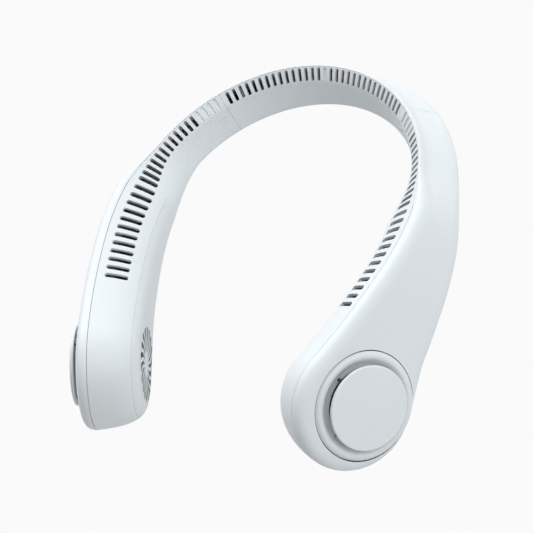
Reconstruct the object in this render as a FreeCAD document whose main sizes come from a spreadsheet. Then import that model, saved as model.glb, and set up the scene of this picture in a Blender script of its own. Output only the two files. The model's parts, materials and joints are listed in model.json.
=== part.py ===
# Electric neck fan: two fan heads on hollow arms, joined behind the neck by a slotted air band.
# Units are millimetres. In the design frame the slot line lies level: X runs to the right-hand arm,
# Y to the back of the neck and Z up. A last placement tips the fan onto a table, where it stands
# on the two heads and the back of the band. The left side mirrors the right one.
import FreeCAD, Part
import math
import os
from types import SimpleNamespace
import Sketcher
from FreeCAD import Placement, Rotation, Vector

DRIVING_SIZES = [
    # Plan of the slot line, from the back centre to a head
    ("band_radius", 84.9, "radius behind the neck"),
    ("band_sweep", 81.0, "degrees of that arc on each side"),
    ("side_radius", 131.0, "radius beside the neck"),
    ("side_sweep", 20.8, "degrees of that arc"),
    ("arm_radius", 364.0, "radius along the arm"),
    ("seam_one_run", 64.0, "length to the seam of band and sleeve"),
    ("seam_two_run", 132.0, "length to the seam of sleeve and arm"),
    ("head_run", 228.4, "length to the middle of the round head"),
    # Cross-section
    ("lean", 19.2, "degrees that every section leans outwards"),
    ("flare_start", 104.0, "where the slim section starts to swell"),
    ("flare_end", 140.0, "where it has its full depth"),
    ("bulge_end", 80.0, "where the foot of the outer face stands fully out"),
    ("band_height", 25.0, "height of the band"),
    ("band_outer_depth", 1.2, "band, ridge to the top of the outer face"),
    ("band_foot_depth", 3.0, "band, ridge to the foot of the outer face"),
    ("band_inner_depth", 19.0, "band, ridge to the neck face"),
    ("band_slot_slope", 20.0, "band, degrees that the slot face falls"),
    ("band_inner_shoulder", 15.0, "band, height of the upper inner shoulder"),
    ("band_inner_foot", 9.0, "band, height of the lower inner shoulder"),
    ("band_outer_shoulder", 5.0, "band, height of the outer shoulders"),
    ("band_slot_setback", 0.7, "band, ridge to the slots"),
    ("neck_face_least", 1.0, "least height of the neck face"),
    ("corner_least", 0.5, "least rounding of an inside corner"),
    ("arm_outer_depth", 7.0, "arm, ridge to the outer face"),
    ("arm_inner_depth", 25.9, "arm, ridge to the neck face"),
    ("arm_slot_slope", 5.0, "arm, degrees that the slot face falls"),
    ("arm_inner_shoulder", 13.0, "arm, height of the inner shoulders"),
    ("arm_outer_shoulder", 9.0, "arm, height of the outer shoulders"),
    ("arm_slot_setback", 4.2, "arm, ridge to the slots"),
    ("head_radius", 34.05, "radius of the head at its ridge"),
    ("neck_height", 63.2, "height that the straight taper of the arm would have at the head"),
    ("taper", 18.52, "degrees of that taper"),
    ("height_blend", 5.4, "softness of the turn from band to taper"),
    ("head_ease", 40.0, "length over which the taper rounds into the head"),
    # Walls and seams
    ("wall", 1.8, "wall of the hard shells"),
    ("sleeve_wall", 2.2, "wall of the soft sleeve"),
    ("plug_wall", 1.4, "wall of the plugs inside the sleeve"),
    ("seam_gap", 0.24, "open line between two shells"),
    ("cover_gap", 0.12, "open line beside a cover on the neck side"),
    ("end_gap", 0.12, "open line at each end of the soft sleeve"),
    ("ridge_groove", 0.35, "depth of the fine line along the ridge of band and sleeve"),
    ("lap", 1.6, "overlap of the stepped shell edges"),
    ("fit", 0.1, "clearance of pieces that are fixed to each other"),
    ("soft_gap", 0.3, "clearance round soft or moving pieces"),
    ("cover_seam", 22.3, "arm, ridge to the seam of the inner cover"),
    ("band_cover_seam", 12.5, "band, ridge to the seam of the cover in the underside"),
    ("plug_reach", 18.0, "length of the band plug inside the sleeve"),
    ("arm_plug_reach", 12.0, "length of the arm plug inside the sleeve"),
    ("plug_grip", 13.0, "length of a plug inside the band or arm"),
    ("plug_root", 3.0, "overlap of the two steps of a plug"),
    ("divider_thickness", 1.6, "plate in the middle of the band"),
    # Snap tabs on the neck side of the sleeve, one beside each seam
    ("tab_lead", 1.6, "seam to the tab"),
    ("tab_width", 8.0, "width of a tab along the sleeve"),
    ("tab_drop", 7.4, "top of the section to the tab"),
    ("tab_height", 12.0, "height of a tab"),
    ("tab_round", 2.8, "corner radius of a tab"),
    ("tab_line", 0.3, "width of the line round a tab"),
    ("tab_line_depth", 0.35, "depth of that line"),
    # Air slots
    ("slot_pitch", 4.0, "spacing of the band's slots"),
    ("band_slot_count", 15, "slots on each half of the band"),
    ("sleeve_slot_pitch", 4.1, "spacing of the sleeve's slots"),
    ("sleeve_slot_count", 12, "open slots in each sleeve"),
    ("blind_slot_count", 4, "shallow slots over each band plug"),
    ("arm_slot_lead", 2.6, "seam to the arm's first slot"),
    ("arm_slot_pitch", 5.32, "spacing of the arm's slots"),
    ("arm_slot_count", 12, "slots in each arm"),
    ("slot_width", 1.95, "width of the band's and sleeve's slots"),
    ("arm_slot_width", 2.7, "width of the arm's slots"),
    ("band_slot_length", 7.0, "length of the band's slots"),
    ("arm_slot_length", 12.4, "length of the arm's slots"),
    ("blind_depth", 0.7, "depth of the shallow slots"),
    ("slot_depth", 6.0, "reach of a slot through wall and plug"),
    # Head: the fan axis and the pieces on it, by radius and by height above the neck face
    ("axis_back", 2.4, "head middle to the fan axis, back along the arm"),
    ("axis_drop", 2.6, "head middle to the fan axis, downwards"),
    ("bezel_radius", 28.25, "outer radius of the coned ring"),
    ("bezel_gap", 0.2, "open line round the ring"),
    ("bezel_sink", 0.6, "foot of the ring below the outer face"),
    ("bezel_rise", 1.5, "crest of the ring above the outer face, before it is rounded"),
    ("bezel_depth", 4.8, "skirt below the outer face"),
    ("bezel_wall", 1.6, "wall of the ring"),
    ("bezel_flange", 1.65, "width of the flange under the shell"),
    ("flange_thickness", 1.3, "thickness of that flange"),
    ("crest_radius", 25.2, "radius of the crest"),
    ("crest_round", 2.5, "rounding of the crest"),
    ("dish_radius", 21.0, "radius of the dish inside the crest"),
    ("dish_fall", 2.6, "foot of the dish below the outer face"),
    ("throat_radius", 18.6, "radius of the air throat"),
    ("throat_wall", 2.6, "wall round the throat"),
    ("throat_fall", 0.4, "foot of the dish to the straight throat"),
    ("disc_radius", 21.7, "radius of the plate before the intake"),
    ("disc_thickness", 2.0, "thickness of that plate"),
    ("disc_round", 0.7, "rounded edge of that plate"),
    ("disc_stand", 2.9, "outer face to that plate"),
    ("post_count", 4, "posts of that plate"),
    ("post_radius", 0.8, "radius of a post"),
    ("post_length", 7.2, "length of a post"),
    ("post_root", 0.5, "post inside the plate"),
    ("grille_slot_count", 18, "curved slots of the grille"),
    ("grille_inner_radius", 7.4, "inner end of the grille slots"),
    ("grille_outer_radius", 20.2, "outer end of the grille slots"),
    ("grille_inner_width", 1.1, "width of a slot at its inner end"),
    ("grille_outer_width", 4.2, "width of a slot at its outer end"),
    ("grille_swirl", 10.0, "degrees that a slot turns on its way out"),
    ("grille_thickness", 1.0, "thickness of the ribs between the slots"),
    ("grille_border", 0.5, "thin border round the slots"),
    ("motor_base_radius", 6.2, "radius of the motor bracket"),
    ("motor_base_thickness", 1.4, "thickness of the motor bracket"),
    ("motor_tube_length", 9.8, "bearing tube above the bracket"),
    ("motor_tube_wall", 0.7, "wall of the bearing tube"),
    ("bearing_radius", 2.5, "outer radius of a bearing"),
    ("bearing_width", 2.0, "width of a bearing"),
    ("shaft_radius", 1.0, "radius of the shaft"),
    ("running_fit", 0.03, "radial clearance of shaft and bearings"),
    ("screw_count", 3, "screws of the motor bracket"),
    ("screw_ring", 4.75, "radius on which the screws stand"),
    ("screw_radius", 0.5, "radius of a screw"),
    ("screw_head_radius", 0.85, "radius of a screw head"),
    ("screw_head_height", 0.8, "height of a screw head"),
    ("screw_bite", 1.2, "length of a screw in the grille hub"),
    ("stator_lift", 2.6, "bracket to the stator"),
    ("stator_height", 5.6, "height of the stator"),
    ("stator_radius", 8.3, "outer radius of the stator"),
    ("stator_hub_wall", 1.0, "wall of the stator's hub"),
    ("tooth_count", 9, "teeth of the stator"),
    ("tooth_width", 1.1, "width of a stator tooth"),
    ("tooth_tip", 0.9, "thickness of a tooth's shoe"),
    ("tooth_gap", 0.9, "opening between two shoes"),
    ("coil_thickness", 0.55, "thickness of a winding"),
    ("air_gap", 0.4, "stator to magnets"),
    ("magnet_thickness", 0.9, "thickness of the magnet ring"),
    ("magnet_height", 6.6, "height of the magnet ring"),
    ("can_wall", 0.8, "wall of the rotor can"),
    ("hub_wall", 1.2, "wall of the impeller hub"),
    ("plate_thickness", 1.2, "thickness of the impeller's plate"),
    ("impeller_radius", 20.5, "outer radius of the impeller"),
    ("impeller_low", 7.4, "lower edge of the blades above the neck face"),
    ("impeller_top", 26.2, "upper edge of the blades above the neck face"),
    ("blade_count", 27, "blades of the impeller"),
    ("blade_root", 14.5, "inner radius of the blades"),
    ("blade_thickness", 0.8, "thickness of a blade"),
    ("blade_bow", 1.3, "bow of a blade"),
    ("blade_turn", 9.0, "degrees that a blade turns on its way out"),
    ("rim_width", 1.1, "width of the ring round the blade tips"),
    ("rim_thickness", 1.2, "thickness of that ring"),
    # Battery in the left arm
    ("battery_radius", 9.0, "radius of the cell"),
    ("battery_length", 50.0, "length of the cell"),
    ("battery_run", 176.0, "length to the middle of the cell"),
    ("battery_depth", 10.0, "ridge to the axis of the cell"),
    ("battery_floor", 3.0, "wall to the cell"),
    ("cap_radius", 2.6, "radius of the cell's raised pole"),
    ("cap_height", 1.0, "height of that pole"),
    ("holder_length", 44.0, "length of the cell's holder"),
    ("holder_wall", 1.6, "wall of the holder"),
    # Electronics in the right arm's underside
    ("board_run", 178.0, "length to the middle of the board"),
    ("board_place", 10.0, "ridge to the middle of the board"),
    ("board_length", 32.0, "length of the board"),
    ("board_width", 13.0, "width of the board"),
    ("board_thickness", 1.2, "thickness of the board"),
    ("board_sink", 8.0, "skin to the board"),
    ("board_post_inset", 1.8, "corner of the board to a post"),
    ("board_post_radius", 1.3, "radius of a post"),
    ("board_pin_radius", 0.6, "radius of the pin on a post"),
    ("board_pin_rise", 0.6, "pin beyond the board"),
    ("button_place", 8.5, "middle of the board to the button"),
    ("button_radius", 4.0, "radius of the button"),
    ("button_rise", 0.5, "button above the skin"),
    ("button_flange", 1.1, "width of the button's flange"),
    ("button_flange_sink", 3.0, "skin to the flange"),
    ("button_flange_thickness", 0.8, "thickness of the flange"),
    ("button_travel", 0.5, "travel of the button"),
    ("stem_radius", 1.4, "radius of the button's stem"),
    ("stem_dip", 0.5, "stem inside the switch at rest"),
    ("switch_width", 6.0, "width of the switch"),
    ("switch_height", 3.3, "height of the switch"),
    ("switch_room", 1.0, "room under the stem when the button is pressed"),
    ("port_place", -7.5, "middle of the board to the port"),
    ("port_length", 9.0, "length of the port's shell"),
    ("port_width", 3.2, "width of the port's shell"),
    ("port_wall", 0.35, "wall of the port's shell"),
    ("port_sink", 0.5, "skin to the mouth of the port"),
    ("port_mouth", 6.0, "depth of the port's mouth"),
    ("tongue_length", 6.6, "length of the port's tongue"),
    ("tongue_width", 0.7, "thickness of the port's tongue"),
    ("tongue_sink", 0.9, "mouth to the tip of the tongue"),
    ("lens_place", 1.0, "middle of the board to the lens"),
    ("lens_radius", 0.9, "radius of the lens"),
    ("lens_flange", 0.8, "width of the lens flange"),
    ("lens_flange_thickness", 0.7, "thickness of that flange"),
    # Leads
    ("lead_radius", 0.9, "radius of the leads' jacket"),
    ("lead_offset", 1.0, "slot line to the leads, outwards"),
    ("lead_drop", 18.3, "slot line to the leads, downwards"),
    ("lead_end", 144.0, "length at which the leads turn down"),
    ("lead_bend", 8.0, "radius of that turn"),
    ("lead_turn", 35.0, "degrees of that turn"),
    ("lead_reach", 3.0, "end of the leads over the board"),
]


def open_sheet(document):
    """Writes the driving sizes to a sheet and returns it."""
    page = document.addObject("Spreadsheet::Sheet", "sizes")
    for row, (alias, value, note) in enumerate(DRIVING_SIZES, start=1):
        page.set("A%d" % row, alias)
        page.set("B%d" % row, str(value))
        page.setAlias("B%d" % row, alias)
        page.set("C%d" % row, note)
    document.recompute()
    return page


class Linked:
    """A size together with its sheet expression, so that sketches and features can be bound to it."""

    def __init__(self, value, text):
        self.value = float(value)
        self.text = text

    def joined(self, sign, other, result):
        return Linked(result, "(%s %s %s)" % (self.text, sign, other.text))

    def __add__(self, other):
        other = linked(other)
        return self.joined("+", other, self.value + other.value)

    def __sub__(self, other):
        other = linked(other)
        return self.joined("-", other, self.value - other.value)

    def __mul__(self, other):
        other = linked(other)
        return self.joined("*", other, self.value * other.value)

    def __truediv__(self, other):
        other = linked(other)
        return self.joined("/", other, self.value / other.value)


def linked(number):
    if isinstance(number, Linked):
        return number
    return Linked(number, "%.6g" % number)


doc = FreeCAD.newDocument("neck_fan")
sheet = open_sheet(doc)
NAMES = [alias for alias, value, note in DRIVING_SIZES]
size = SimpleNamespace(**{alias: float(getattr(sheet, alias)) for alias in NAMES})
cell = SimpleNamespace(**{alias: Linked(getattr(size, alias), "sizes." + alias) for alias in NAMES})
ZERO = Linked(0, "0")
UP = Vector(0, 0, 1)
ORIGIN = Vector(0, 0, 0)


# The slot line and the family of cross-sections

def arcs_of_rim():
    """Radius and sweep of each arc of the slot line."""
    return [(size.band_radius, math.radians(size.band_sweep)),
            (size.side_radius, math.radians(size.side_sweep)),
            (size.arm_radius, math.pi)]


def rim_point(run):
    """Point and heading of the slot line, at a length from the back centre."""
    x, y, heading, left = 0.0, 0.0, 0.0, abs(run)
    for radius, sweep in arcs_of_rim():
        turn = min(left / radius, sweep)
        x += radius * (math.sin(heading + turn) - math.sin(heading))
        y -= radius * (math.cos(heading) - math.cos(heading + turn))
        heading += turn
        left -= turn * radius
    side = math.copysign(1.0, run)
    return Vector(side * x, y, 0), side * heading


def outward_at(heading):
    return Vector(math.sin(heading), math.cos(heading), 0)


def along_at(heading):
    return Vector(math.cos(heading), -math.sin(heading), 0)


def smooth_step(share):
    share = min(max(share, 0.0), 1.0)
    return share * share * (3 - 2 * share)


def soft_max(low, high, softness):
    rise = high - low
    return low + (rise + math.sqrt(rise ** 2 + softness ** 2)) / 2


def full_height(run):
    """Height of the section: level on the band, a straight taper on the arm, eased into the head."""
    fall = math.tan(math.radians(size.taper))
    before = size.head_run - abs(run)
    taper = size.neck_height - max(before, size.head_ease) * fall
    height = soft_max(size.band_height, taper, size.height_blend)
    if before >= size.head_ease:
        return height
    share = 1 - before / size.head_ease
    rest = 2 * size.head_radius - height
    bend = share * (1 - share) ** 2 * size.head_ease * fall
    return height + bend + rest * smooth_step(share)


def blossom(poles, first, second):
    """Pole of a parabola between two of its parameters."""
    start, bend, stop = poles
    cross = (1 - first) * second + first * (1 - second)
    return start * ((1 - first) * (1 - second)) + bend * cross + stop * (first * second)


def share_at(depth, full):
    """Parameter of a shoulder at a depth from the ridge."""
    return 1 - math.sqrt(max(1 - depth / full, 0.0))


class Section:
    """Cross-section square to the slot line: four parabola shoulders, an outer and a neck face."""

    def __init__(self, run):
        share = smooth_step((abs(run) - size.flare_start) / (size.flare_end - size.flare_start))

        def mix(band, arm):
            return band + (arm - band) * share

        foot = smooth_step(abs(run) / size.bulge_end)
        self.half = full_height(run) / 2
        self.inner_depth = mix(size.band_inner_depth, size.arm_inner_depth)
        self.top_depth = mix(size.band_outer_depth, size.arm_outer_depth)
        self.foot_depth = size.band_foot_depth + (size.arm_outer_depth - size.band_foot_depth) * foot
        self.outer_shoulder = mix(size.band_outer_shoulder, size.arm_outer_shoulder)
        self.inner_foot = mix(size.band_inner_foot, size.arm_inner_shoulder)
        room = 2 * self.half - self.inner_foot - size.neck_face_least
        self.inner_shoulder = min(mix(size.band_inner_shoulder, size.arm_inner_shoulder), room)
        self.top_slope = math.radians(mix(size.band_slot_slope, size.arm_slot_slope))
        self.low_slope = math.radians(mix(0.0, size.arm_slot_slope))
        self.slot_setback = mix(size.band_slot_setback, size.arm_slot_setback)
        self.slot_length = mix(size.band_slot_length, size.arm_slot_length)
        self.slot_width = mix(size.slot_width, size.arm_slot_width)
        self.cover_seam = mix(size.band_cover_seam, size.cover_seam)
        lean = math.radians(size.lean)
        rim, heading = rim_point(run)
        self.along = along_at(heading)
        self.out = outward_at(heading) * math.cos(lean) + UP * math.sin(lean)
        self.rise = UP * math.cos(lean) - outward_at(heading) * math.sin(lean)
        self.centre = ORIGIN
        self.centre = rim - self.inner_top(0, self.inner_share(self.slot_setback), 1)[0]

    def at(self, depth, height):
        return self.centre + self.out * depth + self.rise * height

    def inner_share(self, depth):
        return share_at(depth, self.inner_depth)

    def shoulder(self, face, outer_depth, drop, slope, side, inset, start, stop):
        """Poles of one shoulder, from the ridge (0) to its face (1); face is a signed depth."""
        flat = face - math.copysign(inset, face)
        ridge_depth = min(inset * math.sin(slope), outer_depth - inset - size.corner_least)

        def skin(depth):
            return self.half - inset / math.cos(slope) + math.tan(slope) * depth

        ends = [(ridge_depth, skin(ridge_depth)), (flat, skin(flat)), (flat, self.half - drop)]
        poles = [self.at(depth, side * height) for depth, height in ends]
        return [blossom(poles, start, start), blossom(poles, start, stop), blossom(poles, stop, stop)]

    def inner_top(self, inset, start=0.0, stop=1.0):
        return self.shoulder(-self.inner_depth, self.top_depth, self.inner_shoulder, self.top_slope, 1,
                             inset, start, stop)

    def inner_low(self, inset, start=0.0, stop=1.0):
        return self.shoulder(-self.inner_depth, self.foot_depth, self.inner_foot, self.low_slope, -1,
                             inset, start, stop)

    def outer_top(self, inset, start=0.0, stop=1.0):
        return self.shoulder(self.top_depth, self.top_depth, self.outer_shoulder, self.top_slope, 1,
                             inset, start, stop)

    def outer_low(self, inset, start=0.0, stop=1.0):
        return self.shoulder(self.foot_depth, self.foot_depth, self.outer_shoulder, self.low_slope, -1,
                             inset, start, stop)


def stroke(poles):
    """One edge: a line through two points, or a parabola with three poles."""
    if len(poles) == 2:
        return Part.LineSegment(poles[0], poles[1]).toShape()
    curve = Part.BezierCurve()
    curve.setPoles(poles)
    return curve.toBSpline().toShape()


def closed_wire(strokes):
    """Joins strokes end to end, with a straight edge where one ends away from the next."""
    edges = []
    for this, following in zip(strokes, strokes[1:] + strokes[:1]):
        edges.append(stroke(this))
        if (this[-1] - following[0]).Length > 1e-6:
            edges.append(stroke([this[-1], following[0]]))
    return Part.Wire(edges)


# Outlines of the shells in a section. Half-lapped edges: the outer half of one wall covers a tongue,
# which is the inner half of the other.

SHELL_HALF = (size.wall - size.fit) / 2
TONGUE_HALF = (size.wall + size.fit) / 2


def tube_wire(section, inset):
    """Whole outline of a section, at an inset from its outer skin."""
    return closed_wire([section.outer_top(inset, 1, 0), section.inner_top(inset, 0, 1),
                        section.inner_low(inset, 1, 0), section.outer_low(inset, 0, 1)])


def grooved_top(section):
    """Skin from the outer face to the neck face, with a fine groove along the ridge."""
    outer = section.outer_top(0, 1, share_at(size.seam_gap / 2, section.top_depth))
    inner = section.inner_top(0, section.inner_share(size.seam_gap / 2), 1)
    floor = section.outer_top(size.ridge_groove, 0, 0)[0]
    return [outer, [outer[-1], floor], inner]


def sleeve_wire(section):
    return closed_wire(grooved_top(section) + [section.inner_low(0, 1, 0), section.outer_low(0, 0, 1)])


def cover_shares(section):
    """Edge of a wall beside the cover's seam, and the end of its step over the tongue."""
    start = section.cover_seam + size.cover_gap
    return section.inner_share(start), section.inner_share(start + size.lap)


def shell_shares(outer_depth):
    """Edge of a wall at the ridge, and the end of its step over the tongue."""
    return share_at(size.seam_gap / 2, outer_depth), share_at(size.lap + size.seam_gap, outer_depth)


def housing_wire(section):
    """Outer wall, top and neck face of the band, with a step at both edges of the underside."""
    cover_edge, cover_tip = cover_shares(section)
    ridge_edge, ridge_tip = shell_shares(section.foot_depth)
    outside = [section.outer_low(0, ridge_edge, 1)]
    neck_foot = [section.inner_low(0, 1, cover_edge), section.inner_low(SHELL_HALF, cover_edge, cover_tip)]
    inside = [section.inner_low(size.wall, cover_tip, 1), section.inner_top(size.wall, 1, 0),
              section.outer_top(size.wall, 0, 1), section.outer_low(size.wall, 1, ridge_tip)]
    step = [section.outer_low(SHELL_HALF, ridge_tip, ridge_edge)]
    return closed_wire(outside + grooved_top(section) + neck_foot + inside + step)


def cover_strokes(section):
    """Upper half of a neck-side cover: skin, inner face and the step over the tongue."""
    edge, tip = cover_shares(section)
    skin = [section.inner_top(0, edge, 1)]
    inside = [section.inner_top(size.wall, 1, tip), section.inner_top(SHELL_HALF, tip, edge)]
    return skin, inside


def cover_wire(section):
    edge, tip = cover_shares(section)
    skin, inside = cover_strokes(section)
    low = [section.inner_low(0, 1, edge), section.inner_low(SHELL_HALF, edge, tip),
           section.inner_low(size.wall, tip, 1)]
    return closed_wire(skin + low + inside)


def shell_strokes(section):
    """Upper half of the outer shell: skin, inner face and the step over the tongue."""
    edge, tip = shell_shares(section.top_depth)
    skin = [section.outer_top(0, edge, 1)]
    inside = [section.outer_top(size.wall, 1, tip), section.outer_top(SHELL_HALF, tip, edge)]
    return skin, inside


def shell_wire(section):
    edge, tip = shell_shares(section.foot_depth)
    skin, inside = shell_strokes(section)
    low = [section.outer_low(0, 1, edge), section.outer_low(SHELL_HALF, edge, tip),
           section.outer_low(size.wall, tip, 1)]
    return closed_wire(skin + low + inside)


def strip_wire(inner, outer, section, outer_depth):
    """Strip between outer shell and inner cover, with a tongue at both edges."""
    ridge = section.inner_share(size.seam_gap / 2)
    edge = section.inner_share(section.cover_seam)
    tip = section.inner_share(section.cover_seam + size.lap)
    reach = share_at(size.lap, outer_depth)
    return closed_wire([inner(0, ridge, edge), inner(TONGUE_HALF, edge, tip), inner(size.wall, tip, 0),
                        outer(size.wall, 0, reach), outer(TONGUE_HALF, reach, 0),
                        inner(TONGUE_HALF, 0, ridge)])


def top_strip(section):
    return strip_wire(section.inner_top, section.outer_top, section, section.top_depth)


def low_strip(section):
    return strip_wire(section.inner_low, section.outer_low, section, section.foot_depth)


# Lofts along the slot line

TUBE_STEP = 4.0
BAND_STEP = 8.0
ARM_STEP = 8.0
HEAD_STEP = 5.0


def loft(wires):
    return Part.makeLoft(wires, True, False)


def spread(start, stop, longest):
    """Even steps from start to stop, none longer than the last value."""
    count = max(1, math.ceil((stop - start) / longest))
    return [start + (stop - start) * k / count for k in range(count + 1)]


def tube(start, stop, outer_inset, inner_inset):
    """Hollow stretch of the collar between two insets of its section."""
    stations = [Section(run) for run in spread(start, stop, TUBE_STEP)]
    skin = loft([tube_wire(section, outer_inset) for section in stations])
    core = loft([tube_wire(section, inner_inset) for section in stations])
    return skin.cut(core)


head = Section(size.head_run)
ARM_START = size.seam_two_run + size.end_gap / 2
EASE_START = size.head_run - size.head_ease
ARM_SECTIONS = [Section(run) for run in spread(ARM_START, EASE_START, ARM_STEP)[:-1]]
ARM_SECTIONS += [Section(run) for run in spread(EASE_START, size.head_run, HEAD_STEP)]


def half_turn(wire):
    """Carries the outline of the head's section round from top to bottom."""
    return Part.Face(wire).revolve(head.centre, head.out, 180)


def head_half(strokes, face, thickness):
    """Closes half an outline on the head's axis; face is the depth of its flat."""
    skin, inside = strokes
    middle = [head.at(face, 0), head.at(face - math.copysign(thickness, face), 0)]
    return closed_wire(skin + [middle] + inside)


def arm_solid(inset):
    """Whole arm and head, at an inset from the skin."""
    straight = loft([tube_wire(section, inset) for section in ARM_SECTIONS])
    middle = [head.at(-head.inner_depth + inset, 0), head.at(head.top_depth - inset, 0)]
    end = half_turn(closed_wire([head.outer_top(inset, 1, 0), head.inner_top(inset, 0, 1), middle]))
    return straight.fuse(end)


# Air slots

def slot_cutter(run, depth):
    """Round-ended slot across the top, sunk straight down in the section."""
    section = Section(run)
    width = section.slot_width
    start_share = section.inner_share(section.slot_setback)
    stop_share = section.inner_share(section.slot_setback + section.slot_length)
    start = section.inner_top(0, start_share, start_share)[0]
    stop = section.inner_top(0, stop_share, stop_share)[0]
    chord = (stop - start).normalize()
    side = section.along * (width / 2)
    lift = section.rise * width
    near = start + chord * (width / 2) + lift
    far = stop - chord * (width / 2) + lift
    edges = [Part.LineSegment(near + side, far + side).toShape(),
             Part.Arc(far + side, far + chord * (width / 2), far - side).toShape(),
             Part.LineSegment(far - side, near - side).toShape(),
             Part.Arc(near - side, near - chord * (width / 2), near + side).toShape()]
    return Part.Face(Part.Wire(edges)).extrude(section.rise * -(depth + width))


def slot_row(start, pitch, count, depth):
    return [slot_cutter(start + pitch * k, depth) for k in range(int(count))]


band_slots = slot_row(size.slot_pitch, size.slot_pitch, size.band_slot_count, size.slot_depth)
other_band_slots = slot_row(-size.slot_pitch, -size.slot_pitch, size.band_slot_count, size.slot_depth)
centre_slot = slot_cutter(0.0, size.blind_depth)
blind_slots = slot_row(size.seam_one_run + size.slot_pitch, size.slot_pitch, size.blind_slot_count,
                       size.blind_depth)
first_sleeve_slot = size.seam_one_run + size.slot_pitch * (size.blind_slot_count + 1)
sleeve_slots = slot_row(first_sleeve_slot, size.sleeve_slot_pitch, size.sleeve_slot_count, size.slot_depth)
arm_slots = slot_row(size.seam_two_run + size.arm_slot_lead, size.arm_slot_pitch, size.arm_slot_count,
                     size.slot_depth)


# The table under the fan: tip it until heads and band touch together

def curve_points(poles):
    return [blossom(poles, k / 12, k / 12) for k in range(13)]


def skin_points(section):
    curves = [section.inner_low(0), section.outer_low(0), section.inner_top(0), section.outer_top(0)]
    return [point for poles in curves for point in curve_points(poles)]


def head_points():
    points = []
    for angle in range(0, 181, 3):
        turn = Placement(ORIGIN, Rotation(head.out, angle), head.centre)
        points += [turn.multVec(point) for point in curve_points(head.inner_top(0))]
        points += [turn.multVec(point) for point in curve_points(head.outer_top(0))]
    return points


band_skin = [point for run in range(0, int(size.seam_one_run), 4) for point in skin_points(Section(run))]
head_skin = head_points() + [point for section in ARM_SECTIONS for point in skin_points(section)]


def tipped(points, tilt):
    turn = Rotation(Vector(1, 0, 0), tilt)
    return [turn.multVec(point) for point in points]


def lowest(points, tilt):
    return min(point.z for point in tipped(points, tilt))


def solve_tilt():
    steep, level = -30.0, 0.0
    for step in range(50):
        middle = (steep + level) / 2
        if lowest(head_skin, middle) < lowest(band_skin, middle):
            level = middle
        else:
            steep = middle
    return (steep + level) / 2


tilt = solve_tilt()
depths = [point.y for point in tipped(band_skin + head_skin, tilt)]
rest = Placement(Vector(0, -(min(depths) + max(depths)) / 2, -lowest(head_skin, tilt)),
                 Rotation(Vector(1, 0, 0), tilt))


# Document objects

finished = []


def hand_in(item, label):
    """Marks an object as one of the pieces to be written."""
    item.Label = label
    finished.append(item)
    return item


def solid_piece(label, shape, placement=rest):
    item = doc.addObject("Part::Feature", label)
    item.Shape = shape
    item.Placement = placement.multiply(shape.Placement)
    return hand_in(item, label)


def mirrored(item, label):
    twin = doc.addObject("Part::Mirroring", label)
    twin.Source = item
    twin.Normal = Vector(1, 0, 0)
    twin.Base = ORIGIN
    return hand_in(twin, label)


def both_sides(item, name):
    item.Label = "right_" + name
    finished.append(item)
    mirrored(item, "left_" + name)


def both_shapes(shape, name):
    item = solid_piece("right_" + name, shape)
    mirrored(item, "left_" + name)


# Sketches that are bound to the sheet

def origin_part(body, role):
    return [item for item in body.Origin.OriginFeatures if item.Role == role][0]


def new_body(name, placement):
    body = doc.addObject("PartDesign::Body", name)
    body.Placement = placement
    return body


def new_sketch(body, name, role, height=ZERO):
    sketch = body.newObject("Sketcher::SketchObject", name)
    sketch.AttachmentSupport = [(origin_part(body, role), "")]
    sketch.MapMode = "FlatFace"
    if height is not ZERO:
        sketch.setExpression("AttachmentOffset.Base.z", height.text)
    return sketch


def pin(sketch, kind, geometry, point, length):
    """Holds one point of a sketch at a bound distance from an axis."""
    if length is ZERO:
        axis = -2 if kind == "DistanceX" else -1
        sketch.addConstraint(Sketcher.Constraint("PointOnObject", geometry, point, axis))
        return
    number = sketch.addConstraint(Sketcher.Constraint(kind, -1, 1, geometry, point, length.value))
    sketch.setExpression("Constraints[%d]" % number, length.text)


def outline(sketch, corners):
    """Closed outline of straight lines through bound corners."""
    points = [Vector(across.value, up.value, 0) for across, up in corners]
    for this, following in zip(points, points[1:] + points[:1]):
        sketch.addGeometry(Part.LineSegment(this, following))
    for k in range(len(points)):
        following = (k + 1) % len(points)
        sketch.addConstraint(Sketcher.Constraint("Coincident", k, 2, following, 1))
    for k, (across, up) in enumerate(corners):
        pin(sketch, "DistanceX", k, 1, across)
        pin(sketch, "DistanceY", k, 1, up)


def turned(body, name, corners):
    """Turns an outline of radius and height about the body's axis."""
    sketch = new_sketch(body, name + "_outline", "XZ_Plane")
    outline(sketch, corners)
    turn = body.newObject("PartDesign::Revolution", name)
    turn.Profile = sketch
    turn.ReferenceAxis = (sketch, ["V_Axis"])
    turn.Angle = 360
    return turn


def rounded(body, name, feature, radius, circles):
    """Rounds the turned edges that lie at the given radii and heights."""
    doc.recompute()
    picked = []
    for k, edge in enumerate(feature.Shape.Edges, start=1):
        for reach, height in circles:
            on_circle = isinstance(edge.Curve, Part.Circle) and abs(edge.Curve.Radius - reach.value) < 1e-4
            if on_circle and abs(edge.Curve.Center.z - height.value) < 1e-4:
                picked.append("Edge%d" % k)
    fillet = body.newObject("PartDesign::Fillet", name)
    fillet.Base = (feature, picked)
    fillet.setExpression("Radius", radius.text)
    return fillet


def ring_sketch(body, name, height, ring, radius):
    """Circle at a bound distance from the body's axis."""
    sketch = new_sketch(body, name, "XY_Plane", height)
    sketch.addGeometry(Part.Circle(Vector(ring.value, 0, 0), UP, radius.value))
    pin(sketch, "DistanceX", 0, 3, ring)
    pin(sketch, "DistanceY", 0, 3, ZERO)
    number = sketch.addConstraint(Sketcher.Constraint("Radius", 0, radius.value))
    sketch.setExpression("Constraints[%d]" % number, radius.text)
    return sketch


def pad(body, name, sketch, length):
    feature = body.newObject("PartDesign::Pad", name)
    feature.Profile = sketch
    feature.setExpression("Length", length.text)
    return feature


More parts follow.
